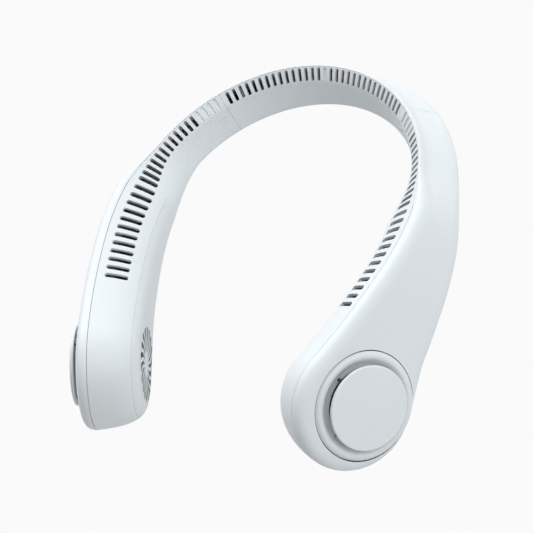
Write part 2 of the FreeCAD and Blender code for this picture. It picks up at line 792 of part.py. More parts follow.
def pocket_up(body, name, sketch, length):
    """Pocket that cuts upwards from its sketch."""
    feature = body.newObject("PartDesign::Pocket", name)
    feature.Profile = sketch
    feature.Reversed = True
    feature.setExpression("Length", length.text)
    return feature


def ring_of(body, name, feature, sketch, count):
    pattern = body.newObject("PartDesign::PolarPattern", name)
    pattern.Originals = [feature]
    pattern.Axis = (sketch, ["N_Axis"])
    pattern.Angle = 360
    pattern.setExpression("Occurrences", count.text)
    body.Tip = pattern
    return pattern


# Fan axis: its frame starts on the neck face, with Z out of the intake and Y up along the head

axis_foot = head.at(-head.inner_depth, -size.axis_drop) - head.along * size.axis_back
axis_turn = Rotation(head.along * -1, head.rise, head.out, "ZXY")
fan_frame = Placement(axis_foot, axis_turn)
fan_place = rest.multiply(fan_frame)
face_height = cell.arm_inner_depth + cell.arm_outer_depth


def on_axis(shape):
    """Moves a shape from the fan's frame to the design frame."""
    moved = shape.copy()
    moved.Placement = fan_frame.multiply(moved.Placement)
    return moved


def ring_solid(inner, outer, low, high):
    outside = Part.makeCylinder(outer, high - low, Vector(0, 0, low))
    return outside.cut(Part.makeCylinder(inner, high - low, Vector(0, 0, low)))


def round_about(shape, count):
    """Copies of a shape round the fan axis."""
    copies = []
    for k in range(int(count)):
        copy = shape.copy()
        copy.rotate(ORIGIN, UP, 360.0 * k / int(count))
        copies.append(copy)
    return copies


# Band behind the neck

BAND_EDGE = size.seam_one_run - size.end_gap / 2
BAND_SECTIONS = [Section(run) for run in spread(-BAND_EDGE, BAND_EDGE, BAND_STEP)]
all_band_slots = Part.makeCompound(band_slots + other_band_slots + [centre_slot])
housing = loft([housing_wire(section) for section in BAND_SECTIONS]).cut(all_band_slots)
solid_piece("back_housing", housing)
solid_piece("back_cover", loft([low_strip(section) for section in BAND_SECTIONS]))

divider_edge = size.divider_thickness / 2
divider = loft([tube_wire(Section(run), size.wall + size.fit) for run in (-divider_edge, divider_edge)])
lead_rim = Vector(0, size.lead_offset, -size.lead_drop)
lead_hole = Part.makeCylinder(size.lead_radius + size.fit, 4 * size.divider_thickness,
                              lead_rim - Vector(2 * size.divider_thickness, 0, 0), Vector(1, 0, 0))
solid_piece("air_divider", divider.cut(lead_hole))

# Soft sleeve and the plugs that hold its ends

SLEEVE_START = size.seam_one_run + size.end_gap / 2
SLEEVE_END = size.seam_two_run - size.end_gap / 2


def tab_block(inset):
    """Round-cornered block through a tab's outline, at an inset from it; Z leaves the neck face."""
    width, height = size.tab_width - 2 * inset, size.tab_height - 2 * inset
    block = Part.makeBox(width, height, size.band_inner_depth,
                         Vector(inset, inset - size.tab_height, -size.band_inner_depth / 2))
    uprights = [edge for edge in block.Edges if abs(edge.tangentAt(edge.FirstParameter).z) > 0.9]
    return block.makeFillet(size.tab_round - inset, uprights)


def tab_line(start):
    """Fine line round a tab, as deep as it may go from the skin."""
    section = Section(start + size.tab_width / 2)
    line = tab_block(0).cut(tab_block(size.tab_line))
    top = section.at(-section.inner_depth, section.half - size.tab_drop)
    corner = top - section.along * (size.tab_width / 2)
    line.Placement = Placement(corner, Rotation(section.along, section.rise, section.out * -1, "ZXY"))
    margin = size.tab_lead / 2
    layer = tube(start - margin, start + size.tab_width + margin, -size.soft_gap, size.tab_line_depth)
    return line.common(layer)


sleeve_stations = [Section(run) for run in spread(SLEEVE_START, SLEEVE_END, TUBE_STEP)]
sleeve = loft([sleeve_wire(section) for section in sleeve_stations])
sleeve = sleeve.cut(loft([tube_wire(section, size.sleeve_wall) for section in sleeve_stations]))
tabs = [tab_line(size.seam_one_run + size.tab_lead),
        tab_line(size.seam_two_run - size.tab_lead - size.tab_width)]
both_shapes(sleeve.cut(Part.makeCompound(blind_slots + sleeve_slots + tabs)), "flex_sleeve")


def plug(seam, hard_end, soft_end, slots):
    """Stepped tube, tight in a hard shell on one side of a seam and loose in the sleeve on the other."""
    root = math.copysign(size.plug_root, hard_end - seam)
    hard_inset = size.wall + size.fit
    soft_inset = size.sleeve_wall + size.soft_gap
    hard = tube(*sorted((hard_end, seam)), hard_inset, hard_inset + size.plug_wall)
    soft = tube(*sorted((seam + root, soft_end)), soft_inset, soft_inset + size.plug_wall)
    return hard.fuse(soft).cut(Part.makeCompound(slots))


both_shapes(plug(size.seam_one_run, size.seam_one_run - size.plug_grip,
                 size.seam_one_run + size.plug_reach, band_slots), "band_plug")
both_shapes(plug(size.seam_two_run, size.seam_two_run + size.plug_grip,
                 size.seam_two_run - size.arm_plug_reach, sleeve_slots + arm_slots), "arm_plug")

# Arm shells

under_skin = arm_solid(size.fit)
shell = loft([shell_wire(section) for section in ARM_SECTIONS])
shell = shell.fuse(half_turn(head_half(shell_strokes(head), head.top_depth, size.wall)))
hole_radius = size.bezel_radius + size.bezel_gap
flange_top = size.arm_inner_depth + size.arm_outer_depth - size.bezel_depth + size.flange_thickness
collar = ring_solid(hole_radius, size.bezel_radius + size.bezel_flange, flange_top + size.fit,
                    size.arm_inner_depth + size.arm_outer_depth)
collar = on_axis(collar).common(under_skin)
bezel_hole = on_axis(Part.makeCylinder(hole_radius, 2 * size.bezel_depth,
                                       Vector(0, 0, flange_top - size.flange_thickness)))
both_shapes(shell.fuse(collar).cut(bezel_hole), "outer_shell")

frame = loft([top_strip(section) for section in ARM_SECTIONS])
frame = frame.fuse([loft([low_strip(section) for section in ARM_SECTIONS]), half_turn(top_strip(head))])
frame = frame.cut(Part.makeCompound(arm_slots))


def grille_slot():
    """One curved slot of the grille, wider at its outer end."""
    inner, outer = size.grille_inner_radius, size.grille_outer_radius
    middle = (inner + outer) / 2
    swirl = math.radians(size.grille_swirl)

    def point(radius, angle, aside):
        return Vector(radius * math.cos(angle) - aside * math.sin(angle),
                      radius * math.sin(angle) + aside * math.cos(angle), 0)

    def side(hand):
        inner_half, outer_half = size.grille_inner_width / 2, size.grille_outer_width / 2
        waist = hand * (inner_half + outer_half) / 2
        outer_corner = outer - outer_half
        return [point(inner, 0, hand * inner_half), point(middle, swirl / 4, waist),
                point(outer_corner, swirl, hand * outer_half)]

    left, right = side(1), side(-1)
    tip = point(outer, swirl, 0)
    heel = point(inner - size.grille_inner_width / 2, 0, 0)
    edges = [Part.Arc(left[0], left[1], left[2]).toShape(), Part.Arc(left[2], tip, right[2]).toShape(),
             Part.Arc(right[2], right[1], right[0]).toShape(), Part.Arc(right[0], heel, left[0]).toShape()]
    deep = 2 * size.wall
    return Part.Face(Part.Wire(edges)).extrude(UP * (2 * deep)).translated(UP * -deep)


cover = loft([cover_wire(section) for section in ARM_SECTIONS])
cover = cover.fuse(half_turn(head_half(cover_strokes(head), -head.inner_depth, size.wall)))
grille = [on_axis(slot) for slot in round_about(grille_slot(), size.grille_slot_count)]
thinning = ring_solid(size.motor_base_radius + size.grille_border,
                      size.grille_outer_radius + size.grille_border, size.grille_thickness, 2 * size.wall)
cover = cover.cut(on_axis(thinning))
pilot = Part.makeCylinder(size.screw_radius + size.running_fit, 2 * size.wall,
                          Vector(size.screw_ring, 0, size.wall - size.screw_bite - size.fit))
pilots = [on_axis(hole) for hole in round_about(pilot, size.screw_count)]
both_shapes(cover.cut(Part.makeCompound(grille + pilots)), "inner_cover")

# Intake ring and the plate before it

skirt_foot = face_height - cell.bezel_depth
crest_height = face_height + cell.bezel_rise
dish_foot = face_height - cell.dish_fall
hollow_radius = cell.dish_radius + cell.bezel_wall
bezel = new_body("bezel", fan_place)
bezel_ring = turned(bezel, "bezel_ring", [
    (cell.bezel_radius, skirt_foot),
    (cell.bezel_radius, face_height - cell.bezel_sink),
    (cell.crest_radius, crest_height),
    (cell.dish_radius, dish_foot),
    (cell.throat_radius, dish_foot - cell.throat_fall),
    (cell.throat_radius, skirt_foot),
    (hollow_radius, skirt_foot),
    (hollow_radius, dish_foot - cell.fit),
    (cell.crest_radius, crest_height - cell.bezel_wall - cell.bezel_wall / 2),
    (cell.bezel_radius - cell.bezel_wall, face_height - cell.bezel_sink - cell.bezel_wall / 2),
    (cell.bezel_radius - cell.bezel_wall, skirt_foot)])
crest = rounded(bezel, "bezel_crest", bezel_ring, cell.crest_round, [(cell.crest_radius, crest_height)])
rounded(bezel, "bezel_dish", crest, cell.crest_round, [(cell.dish_radius, dish_foot)])
post_ring = cell.throat_radius + cell.throat_wall / 2
disc_foot = face_height + cell.disc_stand
post_foot = disc_foot - cell.post_length
post_holes = ring_sketch(bezel, "post_hole", post_foot - cell.fit, post_ring,
                         cell.post_radius + cell.running_fit)
ring_of(bezel, "post_holes", pocket_up(bezel, "post_pocket", post_holes, cell.post_length), post_holes,
        cell.post_count)
flange = ring_solid(size.bezel_radius - size.bezel_wall, size.bezel_radius + size.bezel_flange,
                    flange_top - size.flange_thickness, flange_top)
flange = on_axis(flange).common(arm_solid(size.wall + size.soft_gap))

disc_top = disc_foot + cell.disc_thickness
disc = new_body("intake_plate", fan_place)
plate = turned(disc, "plate", [
    (ZERO, disc_foot),
    (cell.disc_radius, disc_foot),
    (cell.disc_radius, disc_top),
    (ZERO, disc_top)])
rounded(disc, "plate_edge", plate, cell.disc_round,
        [(cell.disc_radius, disc_foot), (cell.disc_radius, disc_top)])
posts = ring_sketch(disc, "post", post_foot, post_ring, cell.post_radius)
ring_of(disc, "posts", pad(disc, "post_pad", posts, cell.post_length + cell.post_root), posts,
        cell.post_count)
both_sides(disc, "intake_disc")

# Motor, from the bracket upwards

base_foot = cell.wall + cell.fit / 2
base_top = base_foot + cell.motor_base_thickness
tube_bore = cell.bearing_radius + cell.running_fit
tube_top = base_top + cell.motor_tube_length
bracket = new_body("bracket", fan_place)
turned(bracket, "bracket_turn", [
    (ZERO, base_foot),
    (cell.motor_base_radius, base_foot),
    (cell.motor_base_radius, base_top),
    (tube_bore + cell.motor_tube_wall, base_top),
    (tube_bore + cell.motor_tube_wall, tube_top),
    (tube_bore, tube_top),
    (tube_bore, base_top),
    (ZERO, base_top)])
screw_holes = ring_sketch(bracket, "screw_hole", base_foot, cell.screw_ring, cell.screw_radius + cell.fit)
ring_of(bracket, "screw_holes",
        pocket_up(bracket, "screw_pocket", screw_holes, cell.motor_base_thickness), screw_holes,
        cell.screw_count)
both_sides(bracket, "motor_bracket")

base_high = base_top.value
screw = Part.makeCylinder(size.screw_radius, size.motor_base_thickness + size.fit / 2 + size.screw_bite,
                          Vector(size.screw_ring, 0, size.wall - size.screw_bite))
screw = screw.fuse(Part.makeCylinder(size.screw_head_radius, size.screw_head_height,
                                     Vector(size.screw_ring, 0, base_high)))
driver = Part.makeBox(size.screw_head_radius * 1.2, size.screw_radius / 2, size.screw_head_height,
                      Vector(size.screw_ring - size.screw_head_radius * 0.6, -size.screw_radius / 4,
                             base_high + size.screw_head_height / 2))
both_shapes(Part.makeCompound([on_axis(item) for item in round_about(screw.cut(driver), size.screw_count)]),
            "motor_screws")

bearing = ring_solid(size.shaft_radius + size.running_fit, size.bearing_radius, 0, size.bearing_width)
low_bearing = bearing.translated(UP * (base_high + size.soft_gap))
high_bearing = bearing.translated(UP * (tube_top.value - size.bearing_width))
both_shapes(Part.makeCompound([on_axis(low_bearing), on_axis(high_bearing)]), "bearings")

stator_bore = size.bearing_radius + size.running_fit + size.motor_tube_wall + size.running_fit
stator_foot = base_high + size.stator_lift
stator_top = stator_foot + size.stator_height
core_radius = stator_bore + size.stator_hub_wall
core = ring_solid(stator_bore, core_radius, stator_foot, stator_top)
shoes = ring_solid(size.stator_radius - size.tooth_tip, size.stator_radius, stator_foot, stator_top)
gap = Part.makeBox(size.stator_radius, size.tooth_gap, size.stator_height,
                   Vector(0, -size.tooth_gap / 2, stator_foot))
gap.rotate(ORIGIN, UP, 180.0 / int(size.tooth_count))
shoes = shoes.cut(Part.makeCompound(round_about(gap, size.tooth_count)))
tooth = Part.makeBox(size.stator_radius - size.tooth_tip / 2 - core_radius + size.fit, size.tooth_width,
                     size.stator_height, Vector(core_radius - size.fit, -size.tooth_width / 2, stator_foot))
stator = core.multiFuse(round_about(tooth, size.tooth_count) + [shoes])
both_shapes(on_axis(stator), "stator")

coil_start = core_radius + size.coil_thickness
coil_end = size.stator_radius - size.tooth_tip - size.fit
coil_wide = size.tooth_width / 2 + size.fit / 2
coil = Part.makeBox(coil_end - coil_start, 2 * (coil_wide + size.coil_thickness),
                    size.stator_height + size.fit + 2 * size.coil_thickness,
                    Vector(coil_start, -coil_wide - size.coil_thickness,
                           stator_foot - size.fit / 2 - size.coil_thickness))
coil = coil.makeFillet(size.coil_thickness * 0.8, [edge for edge in coil.Edges
                                                   if abs(edge.tangentAt(edge.FirstParameter).x) > 0.9])
coil = coil.cut(Part.makeBox(coil_end - coil_start, 2 * coil_wide, size.stator_height + size.fit,
                             Vector(coil_start, -coil_wide, stator_foot - size.fit / 2)))
both_shapes(on_axis(Part.makeCompound(round_about(coil, size.tooth_count))), "motor_coils")

magnet_bore = cell.stator_radius + cell.air_gap
magnet_foot = base_top + cell.stator_lift - (cell.magnet_height - cell.stator_height) / 2
magnet = new_body("magnets", fan_place)
turned(magnet, "magnet_turn", [
    (magnet_bore, magnet_foot),
    (magnet_bore + cell.magnet_thickness, magnet_foot),
    (magnet_bore + cell.magnet_thickness, magnet_foot + cell.magnet_height),
    (magnet_bore, magnet_foot + cell.magnet_height)])
both_sides(magnet, "magnet_ring")

can_bore = magnet_bore + cell.magnet_thickness + cell.running_fit
can_radius = can_bore + cell.can_wall
can_roof = tube_top + cell.soft_gap
can_top = can_roof + cell.can_wall
can = new_body("can", fan_place)
turned(can, "can_turn", [
    (cell.shaft_radius + cell.running_fit, can_roof),
    (can_bore, can_roof),
    (can_bore, magnet_foot),
    (can_radius, magnet_foot),
    (can_radius, can_top),
    (cell.shaft_radius + cell.running_fit, can_top)])
both_sides(can, "rotor_can")

hub_bore = can_radius + cell.running_fit
hub_radius = hub_bore + cell.hub_wall
hub_roof = can_top + cell.running_fit
hub_top = hub_roof + cell.hub_wall
shaft_top = hub_roof + cell.hub_wall / 2
shaft = new_body("shaft", fan_place)
turned(shaft, "shaft_turn", [
    (ZERO, base_top + cell.soft_gap),
    (cell.shaft_radius, base_top + cell.soft_gap),
    (cell.shaft_radius, shaft_top),
    (ZERO, shaft_top)])
both_sides(shaft, "motor_shaft")

impeller = new_body("blower", fan_place)
shaft_seat = cell.shaft_radius + cell.running_fit
turned(impeller, "hub", [
    (ZERO, shaft_top + cell.running_fit),
    (shaft_seat, shaft_top + cell.running_fit),
    (shaft_seat, hub_roof),
    (hub_bore, hub_roof),
    (hub_bore, cell.impeller_low),
    (hub_radius, cell.impeller_low),
    (hub_radius, hub_roof - cell.plate_thickness),
    (cell.impeller_radius, hub_roof - cell.plate_thickness),
    (cell.impeller_radius, hub_roof),
    (hub_radius, hub_roof),
    (hub_radius * 0.7, hub_top + cell.hub_wall),
    (ZERO, hub_top + cell.hub_wall * 1.5)])
blade_sketch = new_sketch(impeller, "blade_outline", "XY_Plane", cell.impeller_low)


def blade_edges():
    """A bowed blade of even thickness, from its root to the tip."""
    turn = math.radians(size.blade_turn)
    root = Vector(size.blade_root, 0, 0)
    tip = Vector(math.cos(turn), math.sin(turn), 0) * (size.impeller_radius - size.rim_width / 4)
    chord = (tip - root).normalize()
    aside = Vector(-chord.y, chord.x, 0)
    half = aside * (size.blade_thickness / 2)
    crown = (root + tip) / 2 + aside * size.blade_bow
    return [Part.Arc(root + half, crown + half, tip + half), Part.LineSegment(tip + half, tip - half),
            Part.Arc(tip - half, crown - half, root - half), Part.LineSegment(root - half, root + half)]


for edge in blade_edges():
    blade_sketch.addGeometry(edge)
blade_pad = pad(impeller, "blade", blade_sketch, cell.impeller_top - cell.impeller_low)
ring_of(impeller, "blades", blade_pad, blade_sketch, cell.blade_count)
turned(impeller, "rim", [
    (cell.impeller_radius - cell.rim_width, cell.impeller_top - cell.rim_thickness),
    (cell.impeller_radius, cell.impeller_top - cell.rim_thickness),
    (cell.impeller_radius, cell.impeller_top),
    (cell.impeller_radius - cell.rim_width, cell.impeller_top)])
both_sides(impeller, "impeller")

# Frame on a strip of the skin: Z out of the fan, X along the arm


def strip_frame(run, depth):
    """Placement on the arm's underside, at a length of the slot line and a depth from the ridge."""

    def skin(at_run, at_depth):
        section = Section(at_run)
        share = section.inner_share(at_depth)
        return section.inner_low(0, share, share)[0]

    step = 1.0
    lengthwise = skin(run + step, depth) - skin(run - step, depth)
    crosswise = skin(run, depth - step) - skin(run, depth + step)
    normal = lengthwise.cross(crosswise)
    if normal.dot(UP) > 0:
        normal = normal * -1
    return Placement(skin(run, depth), Rotation(lengthwise, Vector(0, 0, 0), normal, "ZXY"))


board_frame = strip_frame(size.board_run, size.board_place)
board_place = rest.multiply(board_frame)


def on_board(shape):
    moved = shape.copy()
    moved.Placement = board_frame.multiply(moved.Placement)
    return moved


def upright(radius, low, high, across=0.0, aside=0.0):
    return Part.makeCylinder(radius, high - low, Vector(across, aside, low))


def stadium(length, width, low, high, across):
    """Round-ended block."""
    straight = length - width
    block = Part.makeBox(straight, width, high - low, Vector(across - straight / 2, -width / 2, low))
    ends = [upright(width / 2, low, high, across + hand * straight / 2) for hand in (-1, 1)]
    return block.multiFuse(ends).removeSplitter()


board_outer = -size.board_sink
board_inner = board_outer - size.board_thickness
corners = [(across * (size.board_length / 2 - size.board_post_inset),
            aside * (size.board_width / 2 - size.board_post_inset))
           for across in (-1, 1) for aside in (-1, 1)]
board = Part.makeBox(size.board_length, size.board_width, size.board_thickness,
                     Vector(-size.board_length / 2, -size.board_width / 2, board_inner))
pin_holes = [upright(size.board_pin_radius + size.fit, board_inner, board_outer, across, aside)
             for across, aside in corners]
solid_piece("circuit_board", on_board(board.cut(Part.makeCompound(pin_holes))))

posts_in_arm = []
for across, aside in corners:
    post = upright(size.board_post_radius, board_outer, size.wall, across, aside)
    posts_in_arm.append(on_board(post).common(under_skin))
    posts_in_arm.append(on_board(upright(size.board_pin_radius, board_inner - size.board_pin_rise,
                                         board_outer + size.fit, across, aside)))
skin_top = 2 * size.wall
openings = [upright(size.button_radius + size.soft_gap, -skin_top, skin_top, size.button_place),
            upright(size.lens_radius + size.fit, -skin_top, skin_top, size.lens_place),
            stadium(size.port_length + 2 * size.soft_gap, size.port_width + 2 * size.soft_gap, -skin_top,
                    skin_top, size.port_place)]
right_frame = frame.multiFuse(posts_in_arm).cut(Part.makeCompound([on_board(item) for item in openings]))
solid_piece("right_arm_frame", right_frame)
plain_frame = solid_piece("plain_arm_frame", frame)
finished.remove(plain_frame)
mirrored(plain_frame, "left_arm_frame")

flange_sink = -size.button_flange_sink
switch_top = board_outer + size.switch_height
button = upright(size.button_radius, flange_sink - size.fit, size.button_rise, size.button_place)
button = button.makeFillet(size.button_rise, [edge for edge in button.Edges
                                              if abs(edge.BoundBox.ZMin - size.button_rise) < 1e-6])
button = button.multiFuse([
    upright(size.button_radius + size.button_flange, flange_sink - size.button_flange_thickness, flange_sink,
            size.button_place),
    upright(size.stem_radius, switch_top - size.stem_dip, flange_sink, size.button_place)])
solid_piece("power_button", on_board(button))

switch = Part.makeBox(size.switch_width, size.switch_width, size.switch_height,
                      Vector(size.button_place - size.switch_width / 2, -size.switch_width / 2, board_outer))
bore_floor = switch_top - size.stem_dip - size.button_travel - size.switch_room
bore = upright(size.stem_radius + size.soft_gap, bore_floor, switch_top, size.button_place)
solid_piece("tact_switch", on_board(switch.cut(bore)))

mouth = -size.port_sink
floor = mouth - size.port_mouth
port = stadium(size.port_length, size.port_width, board_outer, mouth, size.port_place)
port = port.cut(stadium(size.port_length - 2 * size.port_wall, size.port_width - 2 * size.port_wall, floor,
                        mouth, size.port_place))
tongue = Part.makeBox(size.tongue_length, size.tongue_width, mouth - size.tongue_sink - floor + size.fit,
                      Vector(size.port_place - size.tongue_length / 2, -size.tongue_width / 2,
                             floor - size.fit))
solid_piece("usb_port", on_board(port.fuse(tongue)))

lens_flange_top = -size.wall - size.soft_gap
lens = upright(size.lens_radius, board_outer + size.soft_gap, 0.0, size.lens_place)
lens = lens.fuse(upright(size.lens_radius + size.lens_flange, lens_flange_top - size.lens_flange_thickness,
                         lens_flange_top, size.lens_place))
solid_piece("indicator_lens", on_board(lens))

# Ring in the outer face, with its flange under the shell

bezel_item = doc.addObject("Part::Fuse", "bezel_with_flange")
flange_item = doc.addObject("Part::Feature", "bezel_flange")
flange_item.Shape = flange
flange_item.Placement = rest.multiply(flange.Placement)
bezel_item.Base = bezel
bezel_item.Tool = flange_item
both_sides(bezel_item, "intake_bezel")

# Battery in the left arm: built in the right one, then mirrored


def battery_axis():
    """Middle and direction of the cell, along the floor of the arm."""
    reach = size.battery_length / 2
    lift = size.wall + size.battery_floor + size.battery_radius

    def floor_point(run):
        section = Section(run)
        share = section.inner_share(size.battery_depth)
        return section.inner_low(0, share, share)[0] + section.rise * lift

    near = floor_point(size.battery_run - reach)
    far = floor_point(size.battery_run + reach)
    return (near + far) / 2, (far - near).normalize()


cell_middle, cell_way = battery_axis()


def cell_cylinder(radius, length, offset=0.0):
    start = cell_middle + cell_way * (offset - length / 2)
    return Part.makeCylinder(radius, length, start, cell_way)


battery = cell_cylinder(size.battery_radius, size.battery_length)
battery = battery.fuse(cell_cylinder(size.cap_radius, size.cap_height,
                                     -(size.battery_length + size.cap_height) / 2))
battery_item = solid_piece("right_battery", battery)
holder_side = size.battery_radius + size.holder_wall
cell_across = head.out - cell_way * head.out.dot(cell_way)
cell_turn = Rotation(cell_way, cell_across, Vector(0, 0, 0), "XYZ")
holder = Part.makeBox(size.holder_length, 2 * holder_side, 4 * size.battery_radius,
                      Vector(-size.holder_length / 2, -holder_side, -4 * size.battery_radius))
holder.Placement = Placement(cell_middle, cell_turn)
if cell_turn.multVec(UP).dot(UP) < 0:
    holder.Placement = Placement(cell_middle, cell_turn.multiply(Rotation(Vector(1, 0, 0), 180)))
holder = holder.common(arm_solid(size.wall + size.fit))
holder = holder.cut(cell_cylinder(size.battery_radius + size.fit, 2 * size.battery_length))
holder_item = solid_piece("right_holder", holder)
for item, label in ((battery_item, "battery_cell"), (holder_item, "battery_holder")):
    finished.remove(item)
    mirrored(item, label)

# Leads: arcs that follow the slot line, turn down at both ends and run to the board and to the cell


def lead_piece(start, heading, radius, sweep):
    """One level arc of the leads, from a point with a heading."""
    centre = start - outward_at(heading) * radius
    section = Part.Face(Part.Wire(Part.makeCircle(size.lead_radius, start, along_at(heading))))
    return section.revolve(centre, UP * -1, math.degrees(sweep))


def half_leads():
    """Leads from the back centre to the end of their turn in the right arm, and that end."""
    pieces, left, run = [], size.lead_end, 0.0
    for radius, sweep in arcs_of_rim():
        turn = min(left / radius, sweep)
        rim, heading = rim_point(run)
        start = rim + outward_at(heading) * size.lead_offset - UP * size.lead_drop
        pieces.append(lead_piece(start, heading, radius + size.lead_offset, turn))
        run += turn * radius
        left -= turn * radius
        if left <= 0:
            break
    rim, heading = rim_point(run)
    start = rim + outward_at(heading) * size.lead_offset - UP * size.lead_drop
    section = Part.Face(Part.Wire(Part.makeCircle(size.lead_radius, start, along_at(heading))))
    pieces.append(section.revolve(start - UP * size.lead_bend, outward_at(heading), size.lead_turn))
    turn = math.radians(size.lead_turn)
    tip = start + along_at(heading) * (size.lead_bend * math.sin(turn))
    return pieces, tip - UP * (size.lead_bend * (1 - math.cos(turn)))


def lead_tail(start, stop):
    """Straight end of the leads, with a round knee where it leaves the turn."""
    knee = Part.makeSphere(size.lead_radius, start)
    return knee.fuse(Part.makeCylinder(size.lead_radius, (stop - start).Length, start, stop - start))


half, lead_tip = half_leads()
board_end = board_frame.multVec(Vector(size.lead_reach - size.board_length / 2, 0,
                                       board_inner - size.lead_radius - size.soft_gap))
cell_end = cell_middle - cell_way * (size.battery_length / 2 + size.cap_height + size.lead_radius)
right_leads = half + [lead_tail(lead_tip, board_end)]
left_leads = [piece.mirror(ORIGIN, Vector(1, 0, 0)) for piece in half + [lead_tail(lead_tip, cell_end)]]
solid_piece("wire_harness", right_leads[0].multiFuse(right_leads[1:] + left_leads))

# Check and write

doc.recompute()
os.makedirs("parts", exist_ok=True)
for item in doc.Objects:
    if "Invalid" in item.State or "Error" in item.State:
        raise RuntimeError("object in error: " + item.Label)
for item in finished:
    shape = item.Shape
    if shape.isNull() or not shape.isValid() or shape.Volume <= 0:
        raise RuntimeError("bad shape: " + item.Label)
    shape.exportStep("parts/%s.step" % item.Label)
print(len(finished), "pieces, tilt", round(tilt, 3))
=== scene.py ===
import json
import math
import bmesh
import bpy
from mathutils import Matrix, Vector


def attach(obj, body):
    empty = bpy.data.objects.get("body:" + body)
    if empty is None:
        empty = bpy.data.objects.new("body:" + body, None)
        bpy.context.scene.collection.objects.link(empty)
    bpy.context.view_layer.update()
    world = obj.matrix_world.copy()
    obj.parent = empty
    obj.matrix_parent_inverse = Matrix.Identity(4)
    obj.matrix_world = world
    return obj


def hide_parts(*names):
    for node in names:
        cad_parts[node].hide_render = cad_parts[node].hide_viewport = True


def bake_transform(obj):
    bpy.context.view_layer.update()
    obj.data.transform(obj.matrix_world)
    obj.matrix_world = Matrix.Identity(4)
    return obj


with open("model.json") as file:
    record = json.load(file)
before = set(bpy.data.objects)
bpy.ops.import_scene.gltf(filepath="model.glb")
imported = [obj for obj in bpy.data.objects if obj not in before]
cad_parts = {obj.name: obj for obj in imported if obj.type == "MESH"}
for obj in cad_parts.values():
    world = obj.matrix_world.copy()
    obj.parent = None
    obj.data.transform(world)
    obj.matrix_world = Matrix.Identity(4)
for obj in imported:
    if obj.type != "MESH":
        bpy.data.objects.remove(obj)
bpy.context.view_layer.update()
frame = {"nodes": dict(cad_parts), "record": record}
scene = bpy.context.scene

# The fan stands tipped on the table; the slot line is level in the design frame
TABLE_TILT = math.radians(-12.428588)
TABLE_SHIFT = Vector((0.0, 0.106019, 0.025112))
TABLE_TURN = Matrix.Rotation(TABLE_TILT, 3, "X")
TABLE_BACK = TABLE_TURN.inverted()


def on_table(point):
    """Moves a point of the design frame, in metres, to the table."""
    return TABLE_TURN @ Vector(point) + TABLE_SHIFT


# Node groups

# Scale and detail of the noises, waviness of turned lines, and depth of the relief in metres
DRIFT_NOISE = (22.0, 2.0)
MARK_NOISE = (140.0, 5.0)
STAIN_NOISE = (300.0, 4.0)
GRAIN_DETAIL = 2.0
LINE_WAVINESS = 1.5
RELIEF_DEPTH = 0.0001
GROUP_OUTPUTS = (("Color", "NodeSocketColor"), ("Roughness", "NodeSocketFloat"),
                 ("Height", "NodeSocketFloat"))


def new_group(name, inputs):
    """A shader group with its sockets; each input has a name, a kind and a default."""
    group = bpy.data.node_groups.new(name, "ShaderNodeTree")
    for title, kind, value in inputs:
        socket = group.interface.new_socket(title, in_out="INPUT", socket_type=kind)
        if value is not None:
            socket.default_value = value
    for title, kind in GROUP_OUTPUTS:
        group.interface.new_socket(title, in_out="OUTPUT", socket_type=kind)
    return group, group.nodes.new("NodeGroupInput"), group.nodes.new("NodeGroupOutput")


def end_group(group, stop, *sockets):
    """Links the sockets of a group's colour, roughness and height to its outputs."""
    for (title, _), socket in zip(GROUP_OUTPUTS, sockets):
        group.links.new(socket, stop.inputs[title])


def node(tree, kind, **settings):
    made = tree.nodes.new(kind)
    for key, value in settings.items():
        setattr(made, key, value)
    return made


def feed(tree, target, value):
    """Gives an input a number, or links it to a socket."""
    if isinstance(value, (int, float)):
        target.default_value = value
    else:
        tree.links.new(value, target)


def noise(tree, vector, scale, detail):
    made = node(tree, "ShaderNodeTexNoise")
    made.inputs["Detail"].default_value = detail
    tree.links.new(vector, made.inputs["Vector"])
    feed(tree, made.inputs["Scale"], scale)
    return made.outputs["Fac"]


def spread_to(tree, factor, low, high):
    """Maps a factor from 0 to 1 on to the span between two sockets."""
    made = node(tree, "ShaderNodeMapRange")
    for title, socket in (("Value", factor), ("To Min", low), ("To Max", high)):
        tree.links.new(socket, made.inputs[title])
    return made.outputs["Result"]


def mix_colours(tree, factor, first, second):
    made = node(tree, "ShaderNodeMix", data_type="RGBA")
    for title, socket in (("Factor", factor), ("A", first), ("B", second)):
        tree.links.new(socket, made.inputs[title])
    return made.outputs["Result"]


def moulded_skin_group():
    """Moulded plastic: slow tone drift, fine spark-eroded grain and faint handling marks."""
    group, start, stop = new_group("moulded_skin", (
        ("Place", "NodeSocketVector", None),
        ("Light Tone", "NodeSocketColor", (0.9, 0.9, 0.9, 1)),
        ("Deep Tone", "NodeSocketColor", (0.8, 0.8, 0.8, 1)),
        ("Grain Scale", "NodeSocketFloat", 4000.0),
        ("Smooth", "NodeSocketFloat", 0.35),
        ("Rough", "NodeSocketFloat", 0.5)))
    place = start.outputs["Place"]
    drift = noise(group, place, *DRIFT_NOISE)
    grain = noise(group, place, start.outputs["Grain Scale"], GRAIN_DETAIL)
    marks = noise(group, place, *MARK_NOISE)
    colour = mix_colours(group, drift, start.outputs["Light Tone"], start.outputs["Deep Tone"])
    rough = spread_to(group, marks, start.outputs["Smooth"], start.outputs["Rough"])
    end_group(group, stop, colour, rough, grain)
    return group


